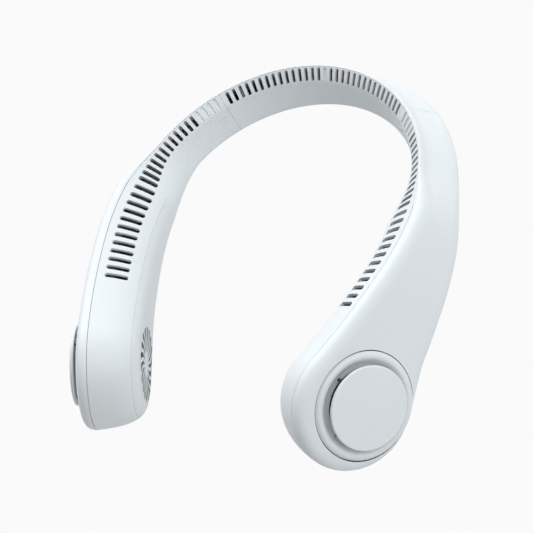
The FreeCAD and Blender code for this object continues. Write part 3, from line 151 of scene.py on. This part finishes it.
def turned_metal_group():
    """Turned or drawn metal: fine lines along one axis over a soft stain."""
    group, start, stop = new_group("turned_metal", (
        ("Place", "NodeSocketVector", None),
        ("Light Tone", "NodeSocketColor", (0.7, 0.7, 0.7, 1)),
        ("Deep Tone", "NodeSocketColor", (0.5, 0.5, 0.5, 1)),
        ("Line Scale", "NodeSocketFloat", 3000.0),
        ("Smooth", "NodeSocketFloat", 0.25),
        ("Rough", "NodeSocketFloat", 0.45)))
    place = start.outputs["Place"]
    wave = node(group, "ShaderNodeTexWave", wave_type="BANDS", bands_direction="X")
    wave.inputs["Distortion"].default_value = LINE_WAVINESS
    group.links.new(place, wave.inputs["Vector"])
    group.links.new(start.outputs["Line Scale"], wave.inputs["Scale"])
    stain = noise(group, place, *STAIN_NOISE)
    colour = mix_colours(group, stain, start.outputs["Light Tone"], start.outputs["Deep Tone"])
    rough = spread_to(group, stain, start.outputs["Smooth"], start.outputs["Rough"])
    end_group(group, stop, colour, rough, wave.outputs["Fac"])
    return group


# Materials, all in linear colours: a light and a deep tone, then the least and the most roughness

MOULDED = moulded_skin_group()
TURNED = turned_metal_group()


def finish_material(name, group, light, deep, scale, smooth, rough, bump, scale_name, **uniform):
    """A material from one of the groups; uniform values go straight to the shader's sockets."""
    material = bpy.data.materials.new(name)
    material.use_nodes = True
    tree = material.node_tree
    shader = tree.nodes["Principled BSDF"]
    coords = node(tree, "ShaderNodeTexCoord")
    skin = node(tree, "ShaderNodeGroup", node_tree=group)
    tree.links.new(coords.outputs["Object"], skin.inputs["Place"])
    skin.inputs["Light Tone"].default_value = (*light, 1)
    skin.inputs["Deep Tone"].default_value = (*deep, 1)
    skin.inputs[scale_name].default_value = scale
    skin.inputs["Smooth"].default_value = smooth
    skin.inputs["Rough"].default_value = rough
    tree.links.new(skin.outputs["Color"], shader.inputs["Base Color"])
    tree.links.new(skin.outputs["Roughness"], shader.inputs["Roughness"])
    relief = node(tree, "ShaderNodeBump")
    relief.inputs["Strength"].default_value = bump
    relief.inputs["Distance"].default_value = RELIEF_DEPTH
    tree.links.new(skin.outputs["Height"], relief.inputs["Height"])
    tree.links.new(relief.outputs["Normal"], shader.inputs["Normal"])
    for title, value in uniform.items():
        shader.inputs[title.replace("_", " ")].default_value = value
    return material


def moulded(name, light, deep, smooth, rough, grain=4200.0, bump=0.12, **uniform):
    return finish_material(name, MOULDED, light, deep, grain, smooth, rough, bump, "Grain Scale", **uniform)


def turned(name, light, deep, lines, smooth, rough, bump=0.2):
    return finish_material(name, TURNED, light, deep, lines, smooth, rough, bump, "Line Scale", Metallic=1.0)


def painted_wall_shade(name, light, deep):
    """A dull grey, painted as shade on faces in narrow openings, in gaps and under the intake plate."""
    return moulded(name, light, deep, 0.6, 0.75, Specular_IOR_Level=0.2)


WHITE = (0.80, 0.835, 0.845)
WHITE_DEEP = (0.775, 0.815, 0.83)
SATIN = {"Specular_IOR_Level": 0.35}
FINISHES = {
    "shell_white": moulded("shell_satin", WHITE, WHITE_DEEP, 0.36, 0.44, **SATIN),
    "frame_white": moulded("frame_satin", WHITE, WHITE_DEEP, 0.36, 0.44, **SATIN),
    "cover_white": moulded("cover_satin", (0.78, 0.815, 0.825), (0.755, 0.795, 0.81), 0.38, 0.48, **SATIN),
    "bezel_white": moulded("bezel_satin", WHITE, WHITE_DEEP, 0.34, 0.42, **SATIN),
    "disc_white": moulded("disc_satin", (0.81, 0.845, 0.855), (0.79, 0.825, 0.84), 0.26, 0.34,
                          Coat_Weight=0.15),
    "sleeve_white": moulded("sleeve_silicone", WHITE, WHITE_DEEP, 0.42, 0.52, bump=0.06, **SATIN),
    "button_white": moulded("button_satin", (0.74, 0.77, 0.78), (0.7, 0.735, 0.75), 0.35, 0.45),
    "inner_grey": moulded("inner_moulding", (0.2, 0.205, 0.21), (0.17, 0.175, 0.18), 0.5, 0.65),
    "blower_grey": moulded("blower_moulding", (0.022, 0.022, 0.024), (0.014, 0.014, 0.016), 0.45, 0.6),
    "motor_steel": turned("motor_steel_turned", (0.62, 0.62, 0.63), (0.45, 0.45, 0.47), 2600.0, 0.22, 0.4),
    "magnet_dark": moulded("magnet_sinter", (0.03, 0.03, 0.032), (0.02, 0.02, 0.021), 0.45, 0.65),
    "coil_copper": turned("coil_enamel", (0.66, 0.27, 0.1), (0.5, 0.18, 0.06), 1900.0, 0.25, 0.4),
    "board_green": moulded("board_mask", (0.012, 0.11, 0.045), (0.008, 0.07, 0.03), 0.25, 0.4),
    "switch_black": moulded("switch_moulding", (0.015, 0.015, 0.016), (0.01, 0.01, 0.011), 0.4, 0.55),
    "port_steel": turned("port_steel_drawn", (0.6, 0.61, 0.62), (0.46, 0.47, 0.48), 3200.0, 0.2, 0.36),
    "lens_clear": moulded("lens_acrylic", (0.85, 0.9, 0.9), (0.8, 0.86, 0.87), 0.08, 0.16,
                          Transmission_Weight=0.7, IOR=1.49),
    "cell_wrap": moulded("cell_film", (0.02, 0.028, 0.045), (0.014, 0.02, 0.034), 0.25, 0.38),
    "lead_jacket": moulded("lead_jacket_rubber", (0.018, 0.018, 0.02), (0.012, 0.012, 0.013), 0.5, 0.65),
}

# Painted shade for narrow openings, standing for their shadow: mid grey in the air slots and duct of band
# and sleeves, deeper grey in the grille and on the arm frame's side of the parting line, near black in the
# line round the coned ring, on the shell's side of the parting line and on the plate's posts.
SLOT_PAINTED_SHADE = painted_wall_shade("slot_wall_shade", (0.62, 0.64, 0.65), (0.58, 0.6, 0.61))
GRILLE_PAINTED_SHADE = painted_wall_shade("grille_wall_shade", (0.42, 0.435, 0.44), (0.38, 0.395, 0.4))
LINE_PAINTED_SHADE = painted_wall_shade("open_line_painted_shade", (0.09, 0.095, 0.1), (0.075, 0.08, 0.085))

for entry in frame["record"]["subparts"]:
    dressed = frame["nodes"][entry["node"]]
    dressed.data.materials.clear()
    dressed.data.materials.append(FINISHES[entry["material_slot"]])


# Where drawn pieces differ from their solids. The neck side of band and sleeves is drawn slimmer, and every
# piece there follows it. Lengths are in metres: runs along the slot line, depths from the ridge, and drops
# below the slot line.

# Radius and sweep of the slot line's arcs, from the middle of the band to the end of an arm
PLAN_ARCS = ((0.0849, math.radians(81.0)), (0.131, math.radians(20.8)), (0.364, math.pi))
SECTION_LEAN = math.radians(19.2)
ARM_DEPTH = 0.0259
ARM_SETBACK = 0.0042
BAND_SETBACK = 0.0007
BAND_HEIGHT = 0.025
# Depth of the band, and the runs between which it swells to the arm's
SOLID_BAND = {"depth": 0.019, "swell": 0.104}
DRAWN_BAND = {"depth": 0.0146, "swell": 0.092}
SWELL_END = 0.140
# The pull outwards eases in behind the slots, and is stronger at the top than below
PULL_START = 0.005
PULL_EASE = 0.006
PULL_AT_TOP = 2.2
PULL_PER_DROP = -76.0
UP = Vector((0.0, 0.0, 1.0))

# The sleeve's lip is drawn stretched on to the arm, as no line shows there
LIP_RUN = 0.1318
LIP_STRETCH = 0.00011

# Open air slots, whose walls get painted shade: they stand square to the sloping slot face. The closed runs
# are the blind slot in the middle, the band's seam with the shallow slots beside it, and the seam to the
# arm.
SLOT_DEPTHS = (0.0003, 0.018)
SLOT_DROP = 0.0065
SLOT_SLOPE = math.radians(15.0)
SLOT_SQUARE = 0.4
CLOSED_RUNS = ((-0.0016, 0.0016), (0.0630, 0.0826), (0.1310, 0.1330))
# Faces that look into the air duct get painted shade as well, from this facing on.
HOLLOW_FACING = 0.3

# Other faces with painted shade: the grille's slots, the open line round the coned ring, the plate's posts
# and the parting line along the ridge. Lengths are from the fan's axis, and along it from the middle of the
# motor.
FAN_AXES = {joint["name"].split("_")[0]: (Vector(joint["pos_m"]), Vector(joint["axis"]))
            for joint in frame["record"]["behaviour"]["joints"] if joint["name"].endswith("_spin")}
GRILLE_RING = (0.0066, 0.0206)
GRILLE_BACK = -0.0084
BEZEL_GAP = (0.0279, 0.0288)
PLATE_BACK = 0.0257
RIDGE_ALONG = 0.0159
SEAM_REACH = 0.00025
SEAM_FACING = 0.85
HEAD_REACH = 0.038
RING_INSET = 0.0003


def plan_place(x, y):
    """Length along the slot line, its point and its outward direction, beside a point of the right half."""
    middle = Vector((0.0, -PLAN_ARCS[0][0]))
    heading, run, last = 0.0, 0.0, len(PLAN_ARCS) - 1
    for index, (radius, sweep) in enumerate(PLAN_ARCS):
        turn = math.atan2(x - middle.x, y - middle.y) - heading
        if turn <= sweep or index == last:
            break
        run += radius * sweep
        heading += sweep
        outward = Vector((math.sin(heading), math.cos(heading)))
        middle += outward * (radius - PLAN_ARCS[index + 1][0])
    outward = Vector((math.sin(heading + turn), math.cos(heading + turn)))
    return run + radius * turn, middle + outward * radius, outward


def swell_share(run, start):
    share = min(max((run - start) / (SWELL_END - start), 0.0), 1.0)
    return share * share * (3 - 2 * share)


def neck_depth(run, band):
    return band["depth"] + (ARM_DEPTH - band["depth"]) * swell_share(run, band["swell"])


def section_place(point):
    """A point's run, depth and drop, with the outward and upward axes of the section it lies in."""
    here = TABLE_BACK @ (point - TABLE_SHIFT)
    run, rim, outward = plan_place(abs(here.x), here.y)
    level = Vector((outward.x, outward.y, 0.0))
    out = level * math.cos(SECTION_LEAN) + UP * math.sin(SECTION_LEAN)
    rise = UP * math.cos(SECTION_LEAN) - level * math.sin(SECTION_LEAN)
    offset = Vector((abs(here.x), here.y, here.z)) - Vector((rim.x, rim.y, 0.0))
    setback = BAND_SETBACK + (ARM_SETBACK - BAND_SETBACK) * swell_share(run, SOLID_BAND["swell"])
    return run, setback - offset.dot(out), -offset.dot(rise), out, rise


def drawn_place(point):
    """Where a point of a solid is drawn: the deeper it lies behind the slots, the further out it moves."""
    run, depth, drop, out, rise = section_place(point)
    past = max(depth - PULL_START, 0.0)
    reach = past ** 2 / (2 * PULL_EASE) if past < PULL_EASE else past - PULL_EASE / 2
    whole = neck_depth(run, SOLID_BAND)
    slack = max(whole - neck_depth(run, DRAWN_BAND), 0.0)
    slant = PULL_AT_TOP + PULL_PER_DROP * min(max(drop, 0.0), BAND_HEIGHT)
    shift = out * (slant * reach * slack / (whole - PULL_START - PULL_EASE / 2))
    if run > LIP_RUN:
        shift += out.cross(rise) * LIP_STRETCH
    shift.x = math.copysign(1.0, point.x) * shift.x
    return point + TABLE_TURN @ shift


def fan_axis(point):
    """The middle of the motor and the direction of the fan's axis, on a point's own side."""
    return FAN_AXES["right" if point.x > 0 else "left"]


def ring_place(point):
    """Where a point of the coned ring is drawn: its rim is drawn in a little, to open the line round it."""
    pivot, axis = fan_axis(point)
    arm = point - pivot - axis * (point - pivot).dot(axis)
    if BEZEL_GAP[0] < arm.length < BEZEL_GAP[1]:
        return point - arm.normalized() * RING_INSET
    return point


# Which faces of a solid get painted shade

def own_normal(face, middle):
    """A face's normal in the design frame, turned to the right half."""
    normal = TABLE_BACK @ face.normal
    normal.x = math.copysign(1.0, middle.x) * normal.x
    return normal


def is_slot_wall(face):
    """Whether a face lies inside an open air slot: under the slot face, and square to it."""
    middle = face.calc_center_median()
    run, depth, drop, out, rise = section_place(middle)
    if not SLOT_DEPTHS[0] < depth < SLOT_DEPTHS[1] or drop > SLOT_DROP:
        return False
    if any(first < run < last for first, last in CLOSED_RUNS):
        return False
    skin = rise * math.cos(SLOT_SLOPE) - out * math.sin(SLOT_SLOPE)
    return abs(own_normal(face, middle).dot(skin)) < SLOT_SQUARE


def is_hollow(face):
    """Whether a face of the band or a sleeve looks into its air duct."""
    middle = face.calc_center_median()
    run, depth, drop, out, rise = section_place(middle)
    away = out * (neck_depth(run, SOLID_BAND) / 2 - depth) + rise * (BAND_HEIGHT / 2 - drop)
    return own_normal(face, middle).dot(away.normalized()) < -HOLLOW_FACING


def fan_place(face):
    """A face's distance from the fan's axis, its place along it, and how far it is turned to the axis."""
    middle = face.calc_center_median()
    pivot, axis = fan_axis(middle)
    along = (middle - pivot).dot(axis)
    return (middle - pivot - axis * along).length, along, abs(face.normal.dot(axis))


def is_grille_wall(face):
    radius, along, facing = fan_place(face)
    return GRILLE_RING[0] < radius < GRILLE_RING[1] and along < GRILLE_BACK and facing < SLOT_SQUARE


def is_bezel_gap(face):
    radius, _, facing = fan_place(face)
    return BEZEL_GAP[0] < radius < BEZEL_GAP[1] and facing < SLOT_SQUARE


def is_post(face):
    _, along, _ = fan_place(face)
    return along < PLATE_BACK


def is_ridge_seam(face):
    """Whether a face lies in the parting line along the ridge, on the arm or round the head."""
    radius, along, facing = fan_place(face)
    on_head = BEZEL_GAP[1] < radius < HEAD_REACH and abs(along - RIDGE_ALONG) < SEAM_REACH
    if on_head and facing > SEAM_FACING:
        return True
    middle = face.calc_center_median()
    _, depth, _, out, _ = section_place(middle)
    return abs(depth) < SEAM_REACH and abs(own_normal(face, middle).dot(out)) > SEAM_FACING


# Pieces, made from merged copies of their solids

# Points closer than this are joined, and edges sharper than this stay sharp
JOIN_DISTANCE = 1e-6
SHARP_EDGE = math.radians(32)


def merged_copy(node_name, title, place=None, shaded=()):
    """A new piece from a solid's mesh, with its loose triangles joined and its sharp edges kept."""
    mesh = frame["nodes"][node_name].data.copy()
    mesh.name = title
    mesh.materials.clear()
    shape = bmesh.new()
    shape.from_mesh(mesh)
    bmesh.ops.remove_doubles(shape, verts=shape.verts, dist=JOIN_DISTANCE)
    # Faces that pass any test take the second material, a painted shade.
    for face in shape.faces:
        face.material_index = 1 if any(is_shaded(face) for is_shaded in shaded) else 0
    if place:
        for vert in shape.verts:
            vert.co = place(vert.co)
        shape.normal_update()
    for edge in shape.edges:
        edge.smooth = edge.calc_face_angle(0.0) < SHARP_EDGE
    for face in shape.faces:
        face.smooth = True
    shape.to_mesh(mesh)
    shape.free()
    piece = bpy.data.objects.new(title, mesh)
    scene.collection.objects.link(piece)
    return piece


def dress(piece, node_name, slot_name, shade=SLOT_PAINTED_SHADE):
    """Gives a drawn piece its finish and the painted shade of its shaded faces, in the place of its solid.
    """
    piece.data.materials.append(FINISHES[slot_name])
    piece.data.materials.append(shade)
    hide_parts(node_name)


def hard_piece(node_name, title, slot_name, body, place=None, shaded=(), shade=SLOT_PAINTED_SHADE):
    piece = merged_copy(node_name, title, place, shaded)
    dress(piece, node_name, slot_name, shade)
    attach(piece, body)


hard_piece("back_housing", "band_shell", "shell_white", "back_band", drawn_place, (is_slot_wall, is_hollow))
hard_piece("back_cover", "band_underside", "cover_white", "back_band", drawn_place)
hard_piece("air_divider", "band_divider", "inner_grey", "back_band", drawn_place)
for hand in ("right", "left"):
    arm = hand + "_arm"
    hard_piece(hand + "_band_plug", hand + "_band_tube", "inner_grey", "back_band", drawn_place)
    hard_piece(hand + "_arm_frame", hand + "_slotted_arm", "frame_white", arm,
               shaded=(is_ridge_seam,), shade=GRILLE_PAINTED_SHADE)
    hard_piece(hand + "_inner_cover", hand + "_grille_cover", "cover_white", arm,
               shaded=(is_grille_wall,), shade=GRILLE_PAINTED_SHADE)
    hard_piece(hand + "_outer_shell", hand + "_arm_shell", "shell_white", arm,
               shaded=(is_bezel_gap, is_ridge_seam), shade=LINE_PAINTED_SHADE)
    hard_piece(hand + "_intake_bezel", hand + "_coned_ring", "bezel_white", arm, ring_place,
               shaded=(is_bezel_gap,), shade=LINE_PAINTED_SHADE)
    hard_piece(hand + "_intake_disc", hand + "_intake_plate", "disc_white", arm,
               shaded=(is_post,), shade=LINE_PAINTED_SHADE)


# Soft pieces: the sleeves, and the leads in them.


def soft_sleeve(hand):
    piece = merged_copy(hand + "_flex_sleeve", hand + "_silicone_sleeve", drawn_place,
                        (is_slot_wall, is_hollow))
    dress(piece, hand + "_flex_sleeve", "sleeve_white")
    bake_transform(piece)


def half_leads(hand, side):
    """One half of the leads, cut at the middle of the band."""
    piece = merged_copy("wire_harness", hand + "_leads")
    shape = bmesh.new()
    shape.from_mesh(piece.data)
    parts = shape.verts[:] + shape.edges[:] + shape.faces[:]
    cut = bmesh.ops.bisect_plane(shape, geom=parts, plane_co=(0, 0, 0), plane_no=(-side, 0, 0),
                                 clear_outer=True)
    rim = [item for item in cut["geom_cut"] if isinstance(item, bmesh.types.BMEdge)]
    bmesh.ops.holes_fill(shape, edges=rim)
    shape.to_mesh(piece.data)
    shape.free()
    piece.data.materials.append(FINISHES["lead_jacket"])
    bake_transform(piece)
    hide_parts("wire_harness")


for hand, side in (("right", 1), ("left", -1)):
    soft_sleeve(hand)
    half_leads(hand, side)


# Table, light and camera

# The table's half width and its place just under the fan, in metres
TABLE_REACH = 6.0
TABLE_LEVEL = -0.0004
# What the eye sees of the paper, and what it throws back on the fan
PAPER_SEEN = (0.956, 0.956, 0.956, 1)
PAPER_GREY = (0.45, 0.45, 0.45, 1)
PAPER_ROUGH = 0.9
PAPER_GLOW = 0.33

# Wide soft panels of the studio: direction from the fan, and brightness over the dim walls
PANELS = (((0.77, 0.0, 0.64), 2.2), ((-0.54, 0.54, 0.64), 2.95), ((0.0, 0.77, 0.64), 0.9),
          ((-0.7, 0.7, 0.14), 0.7))
WALL_LEVEL = 0.05
PANEL_FALL = 6.0
STUDIO_TINT = (0.96, 0.98, 1.0, 1)

# The photograph's camera, measured in the design frame; its focal length is in the photograph's pixels
CAMERA_PLACE = (0.6715, -0.6392, 0.8676)
CAMERA_RIGHT = (0.834, 0.371, -0.4084)
CAMERA_DOWN = (0.0941, -0.825, -0.5572)
CAMERA_AHEAD = (-0.5436, 0.4263, -0.723)
FOCAL_PIXELS = 2350.0
PHOTO_PIXELS = 533.0
SENSOR_WIDTH = 36.0


def mix_shaders(tree, factor, first, second):
    made = node(tree, "ShaderNodeMixShader")
    for index, socket in enumerate((factor, first, second)):
        tree.links.new(socket, made.inputs[index])
    return made.outputs["Shader"]


def table_paper():
    """Even pale paper to the eye, which throws less light back under the fan and is clear from below."""
    material = bpy.data.materials.new("table_paper")
    material.use_nodes = True
    tree = material.node_tree
    shader = tree.nodes["Principled BSDF"]
    shader.inputs["Base Color"].default_value = PAPER_GREY
    shader.inputs["Roughness"].default_value = PAPER_ROUGH
    shader.inputs["Emission Color"].default_value = (1, 1, 1, 1)
    shader.inputs["Emission Strength"].default_value = PAPER_GLOW
    glow = node(tree, "ShaderNodeEmission")
    glow.inputs["Color"].default_value = PAPER_SEEN
    path = node(tree, "ShaderNodeLightPath")
    upper = mix_shaders(tree, path.outputs["Is Camera Ray"], shader.outputs["BSDF"],
                        glow.outputs["Emission"])
    sheet = node(tree, "ShaderNodeNewGeometry")
    clear = node(tree, "ShaderNodeBsdfTransparent")
    whole = mix_shaders(tree, sheet.outputs["Backfacing"], upper, clear.outputs["BSDF"])
    tree.links.new(whole, tree.nodes["Material Output"].inputs["Surface"])
    return material


def table_top():
    mesh = bpy.data.meshes.new("table_top")
    shape = bmesh.new()
    bmesh.ops.create_grid(shape, x_segments=1, y_segments=1, size=TABLE_REACH)
    shape.to_mesh(mesh)
    shape.free()
    floor = bpy.data.objects.new("table_top", mesh)
    floor.location = (0, 0, TABLE_LEVEL)
    scene.collection.objects.link(floor)
    mesh.materials.append(table_paper())


def math_step(tree, operation, first, second):
    """A Math node on a socket and either a number or another socket."""
    made = node(tree, "ShaderNodeMath", operation=operation)
    tree.links.new(first, made.inputs[0])
    feed(tree, made.inputs[1], second)
    return made.outputs[0]


def studio_walls():
    """Dim walls all round, with wide soft panels to the right of the fan and behind it."""
    world = bpy.data.worlds.new("studio_walls")
    world.use_nodes = True
    tree = world.node_tree
    coords = node(tree, "ShaderNodeTexCoord")
    level = WALL_LEVEL
    for direction, brightness in PANELS:
        facing = node(tree, "ShaderNodeVectorMath", operation="DOT_PRODUCT")
        facing.inputs[1].default_value = direction
        tree.links.new(coords.outputs["Generated"], facing.inputs[0])
        front = math_step(tree, "MAXIMUM", facing.outputs["Value"], 0.0)
        lobe = math_step(tree, "MULTIPLY", math_step(tree, "POWER", front, PANEL_FALL), brightness)
        level = math_step(tree, "ADD", lobe, level)
    sky = tree.nodes["Background"]
    sky.inputs["Color"].default_value = STUDIO_TINT
    tree.links.new(level, sky.inputs["Strength"])
    scene.world = world


def photo_camera():
    """The photograph's view."""
    right, down, ahead = (TABLE_TURN @ Vector(axis) for axis in (CAMERA_RIGHT, CAMERA_DOWN, CAMERA_AHEAD))
    turn = Matrix((right, -down, -ahead)).transposed()
    data = bpy.data.cameras.new("photo_camera")
    data.sensor_width = SENSOR_WIDTH
    data.lens = FOCAL_PIXELS * SENSOR_WIDTH / PHOTO_PIXELS
    camera = bpy.data.objects.new("photo_camera", data)
    place = Matrix.Translation(on_table(CAMERA_PLACE))
    camera.matrix_world = place @ turn.to_quaternion().to_matrix().to_4x4()
    scene.collection.objects.link(camera)
    scene.camera = camera


table_top()
studio_walls()
scene.view_settings.view_transform = "Standard"
photo_camera()
